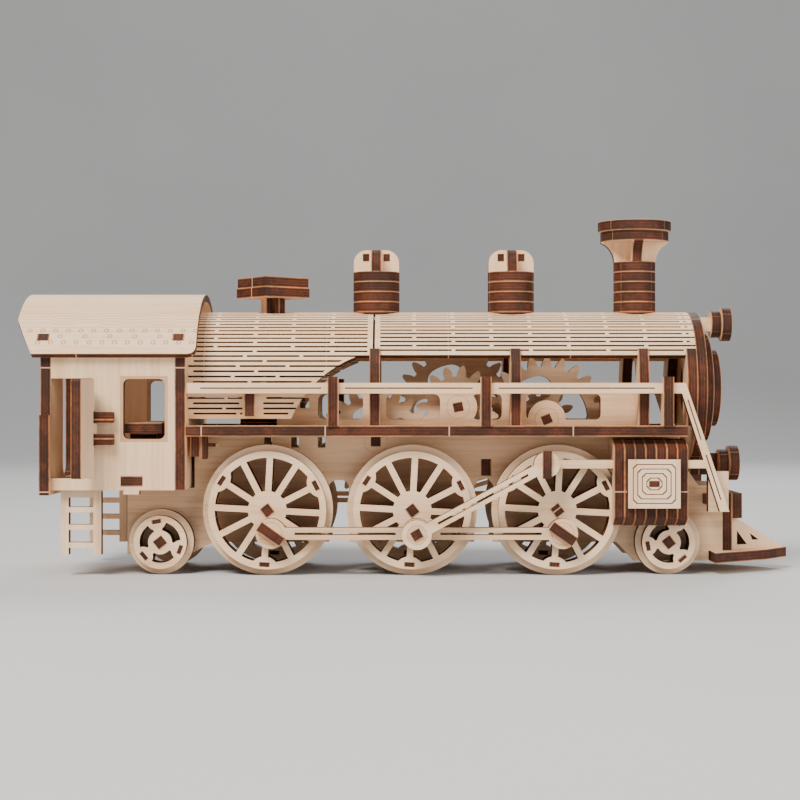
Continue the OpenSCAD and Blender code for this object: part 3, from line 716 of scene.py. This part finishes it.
def body_keys(material):
    """Tenons that show at the cab, the roof, the cylinders and the domes."""
    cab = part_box("cab_side_right")
    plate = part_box("valve_plates")
    plate_mid = (plate[0] + plate[1]) / 2
    floor_z = (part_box("cab_floor")[0].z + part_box("cab_floor")[1].z) / 2
    angle = math.asin((ROOF_TENON_Z - ROOF_Z) / ROOF_R)
    blocks = []
    for side in (-1, 1):
        y = side * (abs(cab[0].y) - 2.0 * MM)
        place = (FLOOR_TENON_X, y, floor_z + FLOOR_TENON_RISE)
        blocks.append((place, X_AXIS, Z_AXIS, FLOOR_TENON))
        place = (plate_mid.x, side * (plate[1].y - 1.8 * MM), plate_mid.z)
        blocks.append((place, X_AXIS, Z_AXIS, PLATE_TENON))
        # Ends of the roof's cross pieces
        out = Vector((0, side * math.cos(angle), math.sin(angle)))
        up = Vector((0, -side * math.sin(angle), math.cos(angle)))
        for x in ROOF_TENON_XS:
            place = Vector((x, 0, ROOF_Z)) + out * (ROOF_R - 1.3 * MM)
            blocks.append((place, up, X_AXIS, ROOF_TENON))
    keys("cab_tenons", blocks, "chassis", material)

    low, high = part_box("dome_caps")
    blocks = [
        ((x + shift, side * 1.3 * MM, high.z - 2.9 * MM), X_AXIS, Z_AXIS, DOME_KEY)
        for x in (low.x + DOME_R, high.x - DOME_R) for side in (-1, 1)
        for shift in DOME_KEY_SHIFTS
    ]
    keys("dome_cap_keys", blocks, "chassis", material)


def shaft_ends(material):
    """Square ends of the gear shafts, flush with the frame plates."""
    for label, turned in SHAFT_TURNS.items():
        low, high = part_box(f"shaft_{label}")
        x, z = (low.x + high.x) / 2, (low.z + high.z) / 2
        t = math.radians(turned)
        u, v = (math.cos(t), 0, math.sin(t)), (-math.sin(t), 0, math.cos(t))
        blocks = [
            ((x, side * (high.y - 0.97 * MM), z), u, v, SHAFT_END) for side in (-1, 1)
        ]
        keys(f"shaft_{label}_ends", blocks, f"gear_shaft_{label}", material)


# ---------- materials on every piece ----------

# The cab window's engraved border in millimetres: along X, then along Z
WINDOW = ((0, -109.0, -93.2), (2, 52.4, 75.2))
BORDER_HALVES, BORDER_STRENGTH, BORDER_TONE = (1.0, 1.25), 0.75, (0.55, 0.27, 0.12, 1)


def window_border(g):
    """The band engraved round the cab window."""
    away = []
    for axis, a, b in WINDOW:
        off = g.math("ABSOLUTE", g.math("SUBTRACT", g.millimetres(axis), (a + b) / 2))
        away.append(g.math("SUBTRACT", off, (b - a) / 2))
    band = g.flipped(g.steps(g.math("MAXIMUM", *away), *BORDER_HALVES))
    return g.math("MULTIPLY", band, BORDER_STRENGTH)


def finish_all():
    # The first two materials carry the darker tone, painted shade for the parts that sit in
    # shade; the pale ones are the plywood as it looks in full light
    shaded_along_x = plywood("shaded_ply_along_x", SHADED_WOOD, "X", engraved=True)
    shaded_along_z = plywood("shaded_ply_along_z", SHADED_WOOD, "Z", engraved=True)
    pale_x = plywood("pale_ply_along_x", PALE, "X", engraved=True)
    pale_z = plywood("pale_ply_along_z", PALE, "Z", engraved=True)
    bent = plywood("bent_ply", PALE, "X")
    bent_roof = plywood("bent_ply_with_marks", PALE, "X", marks=roof_marks)
    bordered = plywood(
        "pale_ply_with_border", PALE, "Z", engraved=True, marks=window_border,
        mark_tone=BORDER_TONE,
    )

    upright = {
        "cab_side_right", "cab_side_left", "cab_front_wall", "cab_rear_wall", "ladders",
        "door_right", "door_left", "dome_caps", "chimney_flare", "valve_plates", "pilot_sides",
    }
    # Upright parts that sit in shade, given the darker tone as painted shade
    shaded_upright = {"boiler_formers", "rail_posts", "front_beam", "winding_post", "cylinders"}
    pale = {
        "handrails", "boiler_skin_front", "boiler_skin_rear", "cab_roof", "piston_rod_right",
        "piston_rod_left", "connecting_rod_right", "connecting_rod_left",
    }
    for name, obj in NODES.items():
        if name.startswith("cab_side"):
            paint(obj, bordered)
        elif name in upright:
            paint(obj, pale_z)
        elif name in shaded_upright:
            paint(obj, shaded_along_z)
        elif name in pale or "wheel" in name:
            paint(obj, pale_x)
        # Everything else gets the darker tone, painted shade for parts that sit in shade
        else:
            paint(obj, shaded_along_x)

    rules = {
        "cylinders": stacked(X_AXIS),
        "chimney_rings": stacked(Z_AXIS),
        "chimney_cap": stacked(Z_AXIS),
        "dome_rings": stacked(Z_AXIS),
        "spring_barrel": stacked(Z_AXIS),
        "dome_caps": crossed,
        "chimney_flare": crossed,
        "lamps": lamp,
        "leading_wheelset": both_sides(0.3 * MM),
        "trailing_wheelset": both_sides(0.3 * MM),
        "middle_crank_pins": both_sides(0.5 * MM),
        "rear_crank_pins": both_sides(2 * MM),
        "front_crank_pins": both_sides(2 * MM),
    }
    for side in ("right", "left"):
        rules[f"coupling_rod_{side}"] = both_sides()
        rules[f"piston_rod_{side}"] = both_sides(2.5 * MM)
        rules[f"connecting_rod_{side}"] = both_sides(1.2 * MM)
    for axle in AXLES:
        rules[f"{axle}_drive_axle"] = both_sides(0.4 * MM)
    for label in SHAFT_TURNS:
        rules[f"shaft_{label}"] = both_sides()
    for name, obj in NODES.items():
        tag(obj, rules.get(name))

    front_skin(bent)
    rear_skin(bent)
    roof(bent_roof)
    wheel_keys(shaded_along_z)
    body_keys(shaded_along_z)
    shaft_ends(shaded_along_z)


# ---------- camera, floor and light ----------

# The photo's camera: level, square to the right side, 0.7 m from the middle of the model
CAMERA_PLACE = (-0.0041, -0.700, 0.0672)
LENS_MM, SENSOR_MM = 78.75, 36

# The floor runs from near to far and then bends up into the backdrop
FLOOR_NEAR, FLOOR_FAR, FLOOR_HALF = -2.5, 1.2, 3.0
FLOOR_BEND, BEND_ROWS, BACKDROP_TOP = 0.8, 16, 3.0
FLOOR_TONES = ((0.3, (0.60, 0.60, 0.60)), (0.7, (0.64, 0.64, 0.635)))
FLOOR_GRAIN, FLOOR_ROUGHNESS = (3, 3, 3), 0.8

SKY, SKY_STRENGTH = (0.80, 0.86, 0.95, 1), 0.26
# Name, place, target, size, power in watts and colour
LIGHTS = (
    ("key", (-0.55, -0.9, 1.15), (0, 0, 0.05), (0.7, 0.5), 34, (1.0, 0.95, 0.89)),
    ("fill", (0.95, -0.8, 0.45), (0, 0, 0.06), (0.8, 0.8), 8, (1.0, 0.95, 0.90)),
    ("rim", (0.3, 0.9, 0.9), (0, 0, 0.08), (0.9, 0.5), 9, (1, 1, 1)),
)


def area_light(name, place, target, size, power, colour):
    light = bpy.data.lights.new(name, "AREA")
    light.shape = "RECTANGLE"
    light.size, light.size_y = size
    light.energy = power
    light.color = colour
    obj = bpy.data.objects.new(name, light)
    bpy.context.scene.collection.objects.link(obj)
    obj.location = place
    aim = Vector(target) - obj.location
    obj.rotation_euler = aim.to_track_quat("-Z", "Y").to_euler()


def add_camera():
    scene = bpy.context.scene
    camera = bpy.data.objects.new("camera", bpy.data.cameras.new("camera"))
    scene.collection.objects.link(camera)
    camera.data.lens = LENS_MM
    camera.data.sensor_width = SENSOR_MM
    camera.data.clip_start = 0.01
    camera.location = CAMERA_PLACE
    camera.rotation_euler = (math.pi / 2, 0, 0)
    scene.camera = camera


def add_floor():
    line = [(FLOOR_NEAR, 0.0), (FLOOR_FAR, 0.0)]
    for k in range(1, BEND_ROWS + 1):
        a = math.pi / 2 * k / BEND_ROWS
        y = FLOOR_FAR + FLOOR_BEND * math.sin(a)
        line.append((y, FLOOR_BEND - FLOOR_BEND * math.cos(a)))
    line.append((FLOOR_FAR + FLOOR_BEND, BACKDROP_TOP))
    verts = [(x, y, z) for y, z in line for x in (-FLOOR_HALF, FLOOR_HALF)]
    faces = [(2 * k, 2 * k + 1, 2 * k + 3, 2 * k + 2) for k in range(len(line) - 1)]
    mesh = bpy.data.meshes.new("floor")
    mesh.from_pydata(verts, [], faces)
    mesh.polygons.foreach_set("use_smooth", [True] * len(mesh.polygons))
    floor = bpy.data.objects.new("floor", mesh)
    bpy.context.scene.collection.objects.link(floor)
    g = Graph("floor_paper")
    tone = g.ramp(g.noise(g.stretched(FLOOR_GRAIN)), FLOOR_TONES)
    g.plug(g.shader.inputs["Base Color"], tone)
    g.shader.inputs["Roughness"].default_value = FLOOR_ROUGHNESS
    mesh.materials.append(g.material)


def add_light():
    world = bpy.data.worlds.new("studio")
    world.use_nodes = True
    background = world.node_tree.nodes["Background"]
    background.inputs["Color"].default_value = SKY
    background.inputs["Strength"].default_value = SKY_STRENGTH
    bpy.context.scene.world = world
    for light in LIGHTS:
        area_light(*light)


finish_all()
add_camera()
add_floor()
add_light()
